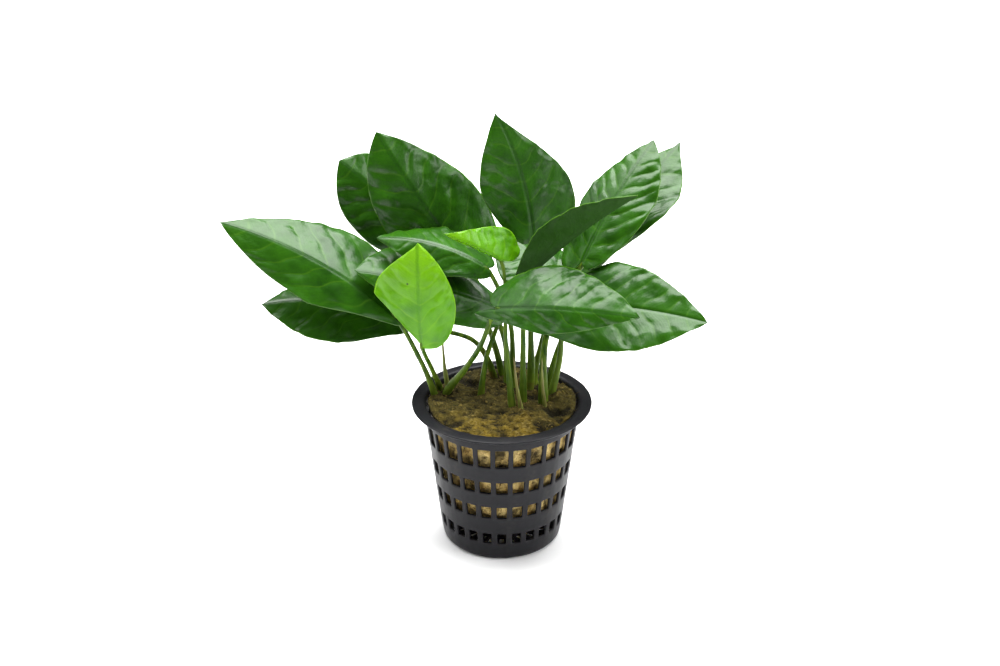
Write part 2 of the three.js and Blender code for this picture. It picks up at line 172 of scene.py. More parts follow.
def geometry_tree(name, sizes):
    """An empty Geometry Nodes tree with a geometry in and out, and a named input for each size."""
    tree = bpy.data.node_groups.new(name, "GeometryNodeTree")
    tree.interface.new_socket("Geometry", in_out="INPUT", socket_type="NodeSocketGeometry")
    for size, kind in sizes.items():
        tree.interface.new_socket(size, in_out="INPUT", socket_type=kind)
    tree.interface.new_socket("Geometry", in_out="OUTPUT", socket_type="NodeSocketGeometry")
    nodes = Nodes(tree)
    entry = tree.nodes.new("NodeGroupInput")
    values = {socket.name: Value(tree, socket) for socket in entry.outputs if socket.name}
    return nodes, values


def end_tree(nodes, geometry, material):
    """Realizes what the tree made, gives it its material and sends it out."""
    real = nodes.node("GeometryNodeRealizeInstances", {}, {"Geometry": geometry})
    painted = nodes.node("GeometryNodeSetMaterial", {}, {"Geometry": real, "Material": material})
    leave = nodes.tree.nodes.new("NodeGroupOutput")
    nodes.feed(leave.inputs["Geometry"], painted)


def plain_object(name, mesh):
    made = bpy.data.objects.new(name, mesh)
    bpy.context.scene.collection.objects.link(made)
    return made


def grown(name, mesh, nodes, sizes):
    """A new object holding the plain mesh that the tree grows from another mesh."""
    made = plain_object(name, mesh)
    modifier = made.modifiers.new("grow", "NODES")
    modifier.node_group = nodes.tree
    for item in nodes.tree.interface.items_tree:
        if item.in_out == "INPUT" and item.name in sizes:
            modifier[item.identifier] = sizes[item.name]
    depsgraph = bpy.context.evaluated_depsgraph_get()
    result = bpy.data.meshes.new_from_object(made.evaluated_get(depsgraph), depsgraph=depsgraph,
                                             preserve_all_data_layers=True)
    made.modifiers.remove(modifier)
    made.data = result
    return made


def sheet_mesh(name, places, left_out=()):
    """A mesh of a grid of places in millimetres, without the cells that are left out."""
    rows = len(places)
    columns = len(places[0])
    vertices = [tuple(MM * c for c in place) for row in places for place in row]
    faces = []
    for r in range(rows - 1):
        for c in range(columns - 1):
            if (r, c) not in left_out:
                corner = r * columns + c
                faces.append((corner, corner + 1, corner + columns + 1, corner + columns))
    mesh = bpy.data.meshes.new(name)
    mesh.from_pydata(vertices, [], faces)
    return mesh


def wall_radius(z):
    return POT_BASE_RADIUS + (POT_TOP_RADIUS - POT_BASE_RADIUS) * z / POT_HEIGHT


def slot_width(z):
    middles = [bottom + height / 2 for bottom, height, width in SLOT_ROWS]
    return float(np.interp(z, middles, [width for bottom, height, width in SLOT_ROWS]))


def sector_angles(half_pitch, opening, lip):
    """Angles across a sector: its edges, and three loops round each side of the opening."""
    inner = [opening - lip, opening, opening + lip, half_pitch]
    return [-angle for angle in reversed(inner)] + inner


def wall_sector():
    """One sector of the wall and rim, with its four openings, as a single sheet."""
    heights = set(WALL_LOOPS)
    slot_cells = []
    for bottom, height, width in SLOT_ROWS:
        top = bottom + height
        heights.update((bottom - SLOT_LIP, bottom, bottom + SLOT_LIP, top - SLOT_LIP, top, top + SLOT_LIP))
        slot_cells.append((bottom, top))
    line = list(FOOT_CENTRE_LINE)
    line += [(wall_radius(z) - POT_WALL / 2, z) for z in sorted(heights)]
    line += RIM_CENTRE_LINE
    half_pitch = math.pi / SLOTS_AROUND
    places = []
    for radius, z in line:
        opening = slot_width(z) / (2 * radius)
        lip = SLOT_LIP / radius
        places.append([(radius * math.sin(a), -radius * math.cos(a), z)
                       for a in sector_angles(half_pitch, opening, lip)])
    gone = {(r, c) for r in range(len(line) - 1) for c in (2, 3, 4)
            for low, high in slot_cells if low - 0.01 < line[r][1] and line[r + 1][1] < high + 0.01}
    return sheet_mesh("wall_sector", places, gone)


def floor_sector():
    """One sector of the floor, with its radial slot."""
    half_pitch = math.pi / FLOOR_SLOTS
    places = []
    for radius in FLOOR_RINGS:
        opening = min(FLOOR_SLOT_WIDTH / 2 / max(radius, 1), 0.6 * half_pitch)
        lip = min(SLOT_LIP / max(radius, 1), 0.3 * opening)
        places.append([(radius * math.sin(a), -radius * math.cos(a), FLOOR_LEVEL)
                       for a in sector_angles(half_pitch, opening, lip)])
    gone = {(r, c) for r in range(len(FLOOR_RINGS) - 1) for c in (2, 3, 4)
            if FLOOR_RINGS[r] >= FLOOR_SLOT_START and FLOOR_RINGS[r + 1] <= FLOOR_SLOT_END}
    return sheet_mesh("floor_sector", places, gone)


plastic = Finish("black_polypropylene", {"Specular IOR Level": 0.14})
scuffs = plastic.noise(700, 6)
smears = plastic.noise(90, 4, (1, 1, 0.25))
grime = plastic.ramp(smears, 0.55, 0.75) * plastic.ramp(scuffs, 0.4, 0.65)
plastic.show("Base Color", plastic.blend(0.35 * grime, rgb(0.010, 0.010, 0.012), rgb(0.05, 0.045, 0.035)))
plastic.show("Roughness", 0.16 + 0.3 * smears + 0.14 * scuffs)
plastic.bump(scuffs, 0.00006, 0.5)

ring, entry = geometry_tree("ring_of_sectors", {"Copies": "NodeSocketInt", "Weld": "NodeSocketFloat"})
stamp = ring.node("GeometryNodeGeometryToInstance", {}, {"Geometry": entry["Geometry"]})
copies = ring.tree.nodes.new("GeometryNodeDuplicateElements")
copies.domain = "INSTANCE"
ring.feed(copies.inputs["Geometry"], stamp)
ring.feed(copies.inputs["Amount"], entry["Copies"])
turn = Value(ring.tree, copies.outputs["Duplicate Index"]) / entry["Copies"] * (2 * math.pi)
spin = ring.node("ShaderNodeCombineXYZ", {}, {"Z": turn})
turned = ring.node("GeometryNodeRotateInstances", {},
                   {"Instances": Value(ring.tree, copies.outputs["Geometry"]), "Rotation": spin})
loose = ring.node("GeometryNodeRealizeInstances", {}, {"Geometry": turned})
welded = ring.node("GeometryNodeMergeByDistance", {}, {"Geometry": loose, "Distance": entry["Weld"]})
end_tree(ring, welded, plastic.material)

wall = grown("pot_wall", wall_sector(), ring, {"Copies": SLOTS_AROUND, "Weld": WELD * MM})
floor_ring = grown("pot_floor", floor_sector(), ring, {"Copies": FLOOR_SLOTS, "Weld": WELD * MM})
basket = bmesh.new()
basket.from_mesh(wall.data)
basket.from_mesh(floor_ring.data)
for face in basket.faces:
    face.smooth = True
    centre = face.calc_center_median()
    inward = face.normal.x * centre.x + face.normal.y * centre.y < 0
    in_wall = FLOOR_ZONE * MM <= centre.z < RIM_ZONE * MM
    if (centre.z < FLOOR_ZONE * MM and face.normal.z > 0) or (in_wall and inward):
        face.normal_flip()
basket.to_mesh(wall.data)
basket.free()
bpy.data.objects.remove(floor_ring)
pot = wall
pot.name = "basket"
shell = pot.modifiers.new("wall", "SOLIDIFY")
shell.thickness = POT_WALL * MM
shell.offset = 0
rounding = pot.modifiers.new("moulded_edges", "SUBSURF")
rounding.levels = 1
rounding.render_levels = 1
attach(pot, "root")
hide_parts("net_pot")

# ---- Mineral wool ----------------------------------------------------------------------------
# The plug is mineral wool, golden brown where it is fresh and olive where algae has taken hold.
# It was pulled apart round the rhizome and pressed back, so its top is folded and lumpy.

WOOL_CLEARANCE = 0.5
WOOL_BOTTOM = 12.6
WOOL_TOP = 45.6
WOOL_TURNS = 220
WOOL_RINGS = 96
# Each lump: across, back, radius, height, and how strongly it is creased round its middle.
WOOL_LUMPS = [(6.3, -12, 6.2, 2.2, 1.0), (-7.5, -16, 6.5, 1.0, 0.5), (19.5, 4, 6.0, 1.9, 0.6),
              (-20, -4.5, 5.0, 1.6, 0.5), (-3.5, -2.5, 6.0, 1.5, 0.6), (-14, -8.5, 5.0, 1.3, 0.5),
              (-7, 17.5, 4.0, 1.6, 0.5), (4, 18, 5.0, 1.3, 0.4), (-14, 5, 5.0, 1.0, 0.4)]
WOOL_HOLLOWS = [(16.8, -6.5, 2.6, 3.0), (20.5, -14, 2.8, 3.2), (-9, 13, 3.0, 2.8), (10.5, 5.5, 3.2, 2.2),
                (0, -8.5, 1.8, 1.5), (12.5, -18.5, 2.2, 1.6), (-17, -15, 2.0, 1.6), (13, 14, 3.0, 2.0)]
WOOL_UNDERSIDE = 0.12  # shares of the skin, from the middle of the underside to the middle of the top
WOOL_SIDE = 0.38
WOOL_SEED = 8
noise.seed_set(WOOL_SEED)  # without a seed noise_vector takes its offsets from the clock


def smoothstep(low, high, value):
    t = np.clip((value - low) / (high - low), 0, 1)
    return t * t * (3 - 2 * t)


def wool_height(x, y, radius, rim_radius):
    """The top of the plug: lumps with creased sides, hollows, and torn ridges all over."""
    z = WOOL_TOP + 0.5 - 0.5 * (radius / rim_radius) ** 20
    for across, back, spread, height, creases in WOOL_LUMPS:
        away = math.hypot(x - across, y - back) / spread
        swell = math.exp(-away * away)
        winding = 8 * away + 1.4 * math.atan2(y - back, x - across) + across
        z += swell * (height - 0.55 * creases * (1 - abs(math.sin(winding))) ** 2)
    for across, back, spread, depth in WOOL_HOLLOWS:
        away = math.hypot(x - across, y - back) / spread
        z -= depth * math.exp(-away * away)
    bent = Vector((x, 1.7 * y, 0)) + 4.0 * noise.noise_vector(Vector((x, y, 7)) * 0.1)
    z += 0.8 * (noise.ridged_multi_fractal(bent * 0.12, 0.9, 2.2, 4, 1.0, 2.0) - 1.2)
    return z + 0.7 * noise.fractal(bent * 0.4, 0.8, 2.1, 3)


def wool_place(profile, angle):
    """A place on the plug's skin."""
    if profile < WOOL_UNDERSIDE:
        z = WOOL_BOTTOM
        radius = (wall_radius(z) - POT_WALL - WOOL_CLEARANCE) * profile / WOOL_UNDERSIDE
    elif profile < WOOL_SIDE:
        climb = (profile - WOOL_UNDERSIDE) / (WOOL_SIDE - WOOL_UNDERSIDE)
        z = WOOL_BOTTOM + (WOOL_TOP - 1.2 - WOOL_BOTTOM) * climb
        radius = wall_radius(z) - POT_WALL - WOOL_CLEARANCE
    else:
        rim_radius = wall_radius(WOOL_TOP) - POT_WALL - 0.3 * WOOL_CLEARANCE
        radius = rim_radius * (1 - (profile - WOOL_SIDE) / (1 - WOOL_SIDE))
        x, y = radius * math.sin(angle), -radius * math.cos(angle)
        return x, y, wool_height(x, y, radius, rim_radius)
    x, y = radius * math.sin(angle), -radius * math.cos(angle)
    torn = noise.ridged_multi_fractal(Vector((x, y, z)) * 0.2, 0.9, 2.1, 4, 1.0, 2.0)
    if profile < WOOL_UNDERSIDE:
        return x, y, z + 1.2 * (torn - 0.9)
    slack = 1.2 * smoothstep(-0.2, 0.9, -x / radius) * smoothstep(WOOL_TOP, WOOL_TOP - 8, z)
    radius -= 0.7 * max(0, 1.6 - torn) + slack
    return radius * math.sin(angle), -radius * math.cos(angle), z


def wool_mesh():
    """One closed skin: a pole under the plug, rings out and up its side, and a pole on its top."""
    turns = [2 * math.pi * step / WOOL_TURNS for step in range(WOOL_TURNS)]
    vertices = [wool_place(0, 0)]
    for ring_number in range(1, WOOL_RINGS):
        vertices += [wool_place(ring_number / WOOL_RINGS, angle) for angle in turns]
    vertices.append(wool_place(1, 0))
    top = len(vertices) - 1
    last_ring = top - WOOL_TURNS
    faces = []
    for c in range(WOOL_TURNS):
        following = (c + 1) % WOOL_TURNS
        faces.append((0, 1 + following, 1 + c))
        faces.append((top, last_ring + c, last_ring + following))
        for here in range(1, last_ring, WOOL_TURNS):
            up = here + WOOL_TURNS
            faces.append((here + c, here + following, up + following, up + c))
    mesh = bpy.data.meshes.new("wool")
    mesh.from_pydata([tuple(MM * c for c in v) for v in vertices], [], faces)
    mesh.shade_smooth()
    # How far each place lies below its neighbours: the mask for the painted shade in the wool's crevices.
    rings = np.array(vertices[1:top]).reshape(WOOL_RINGS - 1, WOOL_TURNS, 3)
    on_side = np.arange(WOOL_RINGS - 1)[:, None] < WOOL_SIDE * WOOL_RINGS
    bulk = np.where(on_side, np.hypot(rings[..., 0], rings[..., 1]), rings[..., 2])
    nearby = sum(np.roll(bulk, (a, b), (0, 1)) for a in (-3, 0, 3) for b in (-9, -4, 4, 9)) / 12
    crevice = np.concatenate(([0.0], np.clip((nearby - bulk) / 0.45, 0, 1).ravel(), [0.0]))
    mesh.attributes.new("crevice", "FLOAT", "POINT").data.foreach_set("value", crevice)
    return mesh


def wool_finish(name, tone):
    """Felted fibre: gold at the front, olive further back, straw where the pot has kept the light off."""
    finish = Finish(name, {"Roughness": 0.85, "Specular IOR Level": 0.2})

    def shade(red, green, blue):
        return rgb(tone * red, tone * green, tone * blue)

    back = finish.node("ShaderNodeSeparateXYZ", {}, {0: finish.place}, out=1)
    up = finish.node("ShaderNodeSeparateXYZ", {}, {0: finish.place}, out=2)
    clumps = finish.noise(170, 4)
    wisps_noise = finish.node("ShaderNodeTexNoise", {},
                              {"Vector": finish.place, "Scale": 420.0, "Detail": 5.0, "Distortion": 2.5})
    gold = finish.ramp(back + 0.02 * clumps, 0.004, -0.014)
    top = finish.blend(gold, shade(0.085, 0.068, 0.014), shade(0.21, 0.14, 0.012))
    top = finish.blend(finish.ramp(clumps, 0.45, 0.7), top, shade(0.022, 0.018, 0.003))
    sides = finish.blend(finish.ramp(clumps, 0.35, 0.6), rgb(0.30, 0.19, 0.05), rgb(0.64, 0.48, 0.19))
    colour = finish.blend(finish.ramp(up, 0.0425, 0.0405), top, sides)
    colour = finish.blend(finish.ramp(wisps_noise, 0.55, 0.75), colour, shade(0.26, 0.19, 0.05))
    colour = finish.blend(finish.ramp(wisps_noise, 0.42, 0.25), colour, rgb(0.03, 0.022, 0.006))
    # Painted shade: the crevices between the lumps are darkened almost to black.
    crevice = finish.node("ShaderNodeAttribute", {"attribute_name": "crevice"}, out="Fac")
    colour = finish.blend(0.9 * crevice, colour, rgb(0.006, 0.005, 0.001))
    finish.show("Base Color", colour)
    finish.bump(wisps_noise, 0.0012, 1.0)
    return finish


wool_paint = wool_finish("mineral_wool", 1.0)
fibre_paint = wool_finish("wool_fibre", 1.1)

plug = plain_object("wool_plug", wool_mesh())
plug.data.materials.append(wool_paint.material)
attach(plug, "root")
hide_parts("mineral_wool")

FIBRE_SIZES = {"Per square metre": 4e5, "Length": 4.6 * MM, "Thickness": 0.09 * MM}
ARC_SHARE = 0.9  # of the arc's radius, to a fibre's length
fibres, given = geometry_tree("fibres", {size: "NodeSocketFloat" for size in FIBRE_SIZES})
spots = fibres.tree.nodes.new("GeometryNodeDistributePointsOnFaces")
fibres.feed(spots.inputs["Mesh"], given["Geometry"])
fibres.feed(spots.inputs["Density"], given["Per square metre"])
spots.inputs["Seed"].default_value = 5
strand = fibres.node("GeometryNodeCurveArc", {"mode": "RADIUS"},
                     {"Resolution": 5, "Radius": given["Length"] * ARC_SHARE, "Start Angle": -0.55,
                      "Sweep Angle": 1.1})
section = fibres.node("GeometryNodeCurvePrimitiveCircle", {},
                      {"Resolution": 3, "Radius": given["Thickness"] * 0.5})
thread_arc = fibres.node("GeometryNodeCurveToMesh", {},
                         {"Curve": strand, "Profile Curve": section, "Fill Caps": True})
to_middle = fibres.node("ShaderNodeCombineXYZ", {}, {"X": given["Length"] * -ARC_SHARE})
thread = fibres.node("GeometryNodeTransform", {}, {"Geometry": thread_arc, "Translation": to_middle})
drift = fibres.node("ShaderNodeTexNoise", {}, {"Scale": 130.0, "Detail": 1.0})
heading = fibres.node("FunctionNodeRandomValue", {"data_type": "FLOAT"}, {2: -0.35, 3: 0.35, "Seed": 3},
                      out=1)
tip_up = fibres.node("FunctionNodeRandomValue", {"data_type": "FLOAT"}, {2: -0.2, 3: 0.2, "Seed": 8}, out=1)
swing = fibres.node("ShaderNodeCombineXYZ", {}, {"X": tip_up, "Y": tip_up, "Z": drift * 14.0 + heading})
lengths = fibres.node("FunctionNodeRandomValue", {"data_type": "FLOAT"}, {2: 0.5, 3: 1.4, "Seed": 12},
                      out=1)
standing = fibres.node("GeometryNodeInstanceOnPoints", {},
                       {"Points": Value(fibres.tree, spots.outputs["Points"]), "Instance": thread,
                        "Rotation": Value(fibres.tree, spots.outputs["Rotation"]), "Scale": lengths})
matted = fibres.node("GeometryNodeRotateInstances", {}, {"Instances": standing, "Rotation": swing})
end_tree(fibres, matted, fibre_paint.material)
wisps = grown("wool_fibres", plug.data.copy(), fibres, FIBRE_SIZES)
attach(wisps, "root")

# ---- Rhizome and roots -----------------------------------------------------------------------
# The creeping stem and its roots, buried in the wool. The stem is fleshy and green, ringed with
# old leaf scars, and one side branch runs to the back. The roots are pale and wiry.

RHIZOME_DEPTH = 5.4
RHIZOME_RADIUS = 3.4
BRANCH_RADIUS = 2.9
ROOT_RADIUS = 0.65
ROOT_END = 3.4
STEM_STEPS = 90
BRANCH_STEPS = 50
ROOT_STEPS = 60
RHIZOME_LEVEL = WOOL_TOP - RHIZOME_DEPTH
PLUG_RADIUS = wall_radius(WOOL_TOP) - POT_WALL - WOOL_CLEARANCE


def in_plug(across, back, z):
    return np.array((across * PLUG_RADIUS, back * PLUG_RADIUS, z))


def smooth_route(points, count):
    """Places at even steps along the centripetal Catmull-Rom curve through some points."""
    points = [np.asarray(p, float) for p in points]
    padded = [2 * points[0] - points[1]] + points + [2 * points[-1] - points[-2]]
    dense = []
    for a, b, c, d in zip(padded, padded[1:], padded[2:], padded[3:]):
        ta = 0.0
        tb = ta + np.linalg.norm(b - a) ** 0.5
        tc = tb + np.linalg.norm(c - b) ** 0.5
        td = tc + np.linalg.norm(d - c) ** 0.5
        for t in np.linspace(tb, tc, 24, endpoint=False):
            ab = a + (b - a) * (t - ta) / (tb - ta)
            bc = b + (c - b) * (t - tb) / (tc - tb)
            cd = c + (d - c) * (t - tc) / (td - tc)
            abc = ab + (bc - ab) * (t - ta) / (tc - ta)
            bcd = bc + (cd - bc) * (t - tb) / (td - tb)
            dense.append(abc + (bcd - abc) * (t - tb) / (tc - tb))
    dense.append(points[-1])
    dense = np.array(dense)
    lengths = np.concatenate(([0], np.cumsum(np.linalg.norm(np.diff(dense, axis=0), axis=1))))
    steps = np.linspace(0, lengths[-1], count)
    return np.stack([np.interp(steps, lengths, dense[:, k]) for k in range(3)], axis=1)


def route_mesh(name, routes):
    """Routes in millimetres as lines of edges, each point with the radius of the stem there."""
    vertices = []
    edges = []
    radii = []
    for route, radius in routes:
        start = len(vertices)
        vertices += [tuple(MM * place) for place in route]
        edges += [(start + i, start + i + 1) for i in range(len(route) - 1)]
        radii += [MM * r for r in radius]
    mesh = bpy.data.meshes.new(name)
    mesh.from_pydata(vertices, edges, [])
    mesh.attributes.new("stem_radius", "FLOAT", "POINT").data.foreach_set("value", radii)
    return mesh


def stem_tree(name, material):
    """Geometry Nodes that give a line its round section, closed at both ends and a little uneven."""
    nodes, size = geometry_tree(name, {"Sides": "NodeSocketInt", "Uneven": "NodeSocketFloat",
                                       "Grain": "NodeSocketFloat"})
    line = nodes.node("GeometryNodeMeshToCurve", {}, {"Mesh": size["Geometry"]})
    radius = nodes.node("GeometryNodeInputNamedAttribute", {"data_type": "FLOAT"}, {"Name": "stem_radius"})
    section = nodes.node("GeometryNodeCurvePrimitiveCircle", {},
                         {"Resolution": size["Sides"], "Radius": 1.0})
    stem = nodes.node("GeometryNodeCurveToMesh", {},
                      {"Curve": line, "Profile Curve": section, "Scale": radius, "Fill Caps": True})
    lumps = nodes.node("ShaderNodeTexNoise", {}, {"Scale": size["Grain"], "Detail": 2.0})
    normal = nodes.node("GeometryNodeInputNormal")
    push = nodes.node("ShaderNodeVectorMath", {"operation": "SCALE"},
                      {0: normal, "Scale": (lumps - 0.5) * size["Uneven"]})
    stem = nodes.node("GeometryNodeSetPosition", {}, {"Geometry": stem, "Offset": push})
    stem = nodes.node("GeometryNodeSetShadeSmooth", {}, {"Geometry": stem})
    end_tree(nodes, stem, material)
    return nodes


# Where each stem runs: across and back in shares of the plug's radius, and height.
STEM_SPOTS = [(-0.80, 0.24, 0.8), (-0.56, 0.18, 0), (-0.28, 0.12, -0.6), (0.14, 0.02, -0.4),
              (0.52, 0.04, 0), (0.69, 0.20, 0.4), (0.67, 0.36, 0.8), (0.60, 0.52, 1.2)]
BRANCH_SPOTS = [(0.34, 0.06, -0.4), (0.26, 0.34, 0), (0.10, 0.60, 0.8), (-0.05, 0.74, 1.4)]
stem_line = [in_plug(across, back, RHIZOME_LEVEL + up) for across, back, up in STEM_SPOTS]
branch_line = [in_plug(across, back, RHIZOME_LEVEL + up) for across, back, up in BRANCH_SPOTS]


def ringed(radius_start, radius_end, count, scars):
    """Radii along a stem with a raised ring at each leaf scar and a rounded growing end."""
    steps = np.linspace(0, 1, count)
    rings = 0.12 * np.maximum(0, np.cos(2 * np.pi * scars * steps)) ** 6
    ends = np.sqrt(np.clip(np.minimum(steps, 1 - steps) * 14, 0.02, 1))
    return (radius_start + (radius_end - radius_start) * steps - 0.2 + rings) * ends


bark = Finish("rhizome_skin", {"Specular IOR Level": 0.3, "Roughness": 0.6})
patches = bark.noise(260, 4)
bark.show("Base Color",
          bark.blend(bark.ramp(patches, 0.35, 0.65), rgb(0.10, 0.13, 0.03), rgb(0.16, 0.10, 0.04)))
bark.bump(bark.noise(1500, 3), 0.0002)
bark_stem = stem_tree("fleshy_stem", bark.material)
stem_radii = ringed(RHIZOME_RADIUS, RHIZOME_RADIUS - 0.6, STEM_STEPS, 14)
branch_radii = ringed(BRANCH_RADIUS, BRANCH_RADIUS - 0.5, BRANCH_STEPS, 7)
creeping_stem = route_mesh("creeping_stem", [(smooth_route(stem_line, STEM_STEPS), stem_radii),
                                             (smooth_route(branch_line, BRANCH_STEPS), branch_radii)])
rhizome = grown("creeping_rhizome", creeping_stem, bark_stem,
                {"Sides": 20, "Uneven": 0.3 * MM, "Grain": 300.0})
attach(rhizome, "root")
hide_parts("rhizome")

# Where each root leaves the rhizome and where it ends, in shares of the plug radius.
ROOT_SPOTS = [((-0.72, 0.22), (-0.52, 0.16)), ((-0.40, 0.14), (-0.34, -0.22)),
              ((-0.04, 0.06), (-0.02, 0.20)), ((0.30, 0.04), (0.34, -0.30)),
              ((0.58, 0.08), (0.50, 0.18)), ((0.14, 0.52), (0.10, 0.44))]
root_skin = Finish("root_skin", {"Specular IOR Level": 0.3, "Roughness": 0.7})
root_bands = root_skin.noise(500, 3, (1, 1, 0.3))
root_skin.show("Base Color", root_skin.blend(root_skin.ramp(root_bands, 0.35, 0.7),
                                             rgb(0.56, 0.46, 0.27), rgb(0.27, 0.19, 0.08)))
root_skin.bump(root_skin.noise(2500, 2), 0.0001)
root_stem = stem_tree("wiry_root", root_skin.material)
for number, (source, goal) in enumerate(ROOT_SPOTS, 1):
    turning = (0.7 * source[0] + 0.3 * goal[0], 0.4 * source[1] + 0.6 * goal[1])
    root_line = smooth_route([in_plug(*source, RHIZOME_LEVEL - 1),
                              in_plug(*source, RHIZOME_LEVEL - RHIZOME_RADIUS - 3),
                              in_plug(*turning, 0.5 * (RHIZOME_LEVEL + ROOT_END)),
                              in_plug(*goal, ROOT_END)], ROOT_STEPS)
    taper = np.linspace(ROOT_RADIUS, 0.6 * ROOT_RADIUS, ROOT_STEPS)
    taper[-3:] *= (0.9, 0.7, 0.35)
    root = grown(f"wiry_root_{number}", route_mesh("root_line", [(root_line, taper)]), root_stem,
                 {"Sides": 10, "Uneven": 0.25 * MM, "Grain": 700.0})
    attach(root, "root")
    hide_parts(f"root_{number}")

# ---- Leaf blades -----------------------------------------------------------------------------
# Fifteen leathery blades. Each is one thin sheet with a heart-shaped foot, a sunken midrib that
# stands out as a rib underneath, side veins that pleat it, and a thin pale margin.

# What a blade has unless its entry says otherwise. Pairs give the left half first, seen from above
# with the tip ahead. arch and sway bow the midrib up and sideways, as shares of the length.
# fold tilts each half at the base and foldTip at the tip, and curl goes on bending it, in degrees.
# wave and waves are the height and number of the broad ripples in the margin, lobe how far each half
# reaches back past the petiole, widest where it is widest and blunt how full it stays to the tip.
# uneven makes the right half wider, taper turns a lobe into a wedge, and pleat, veins and frill
# are the depth of the pleats, the number of side veins and the height of the small ripples.
typical_blade = {
    "arch": 0.05, "sway": 0, "fold": [-12, -12], "curl": [-9, -9], "wave": 0.5, "waves": 2.2,
    "phase": 0, "lobe": [0.1, 0.1], "widest": [0.38, 0.38], "blunt": [0.42, 0.42], "uneven": 0,
    "taper": [0, 0], "pleat": 0.27, "veins": 7, "frill": 0.26, "stem": [1.2, 0.8],
}
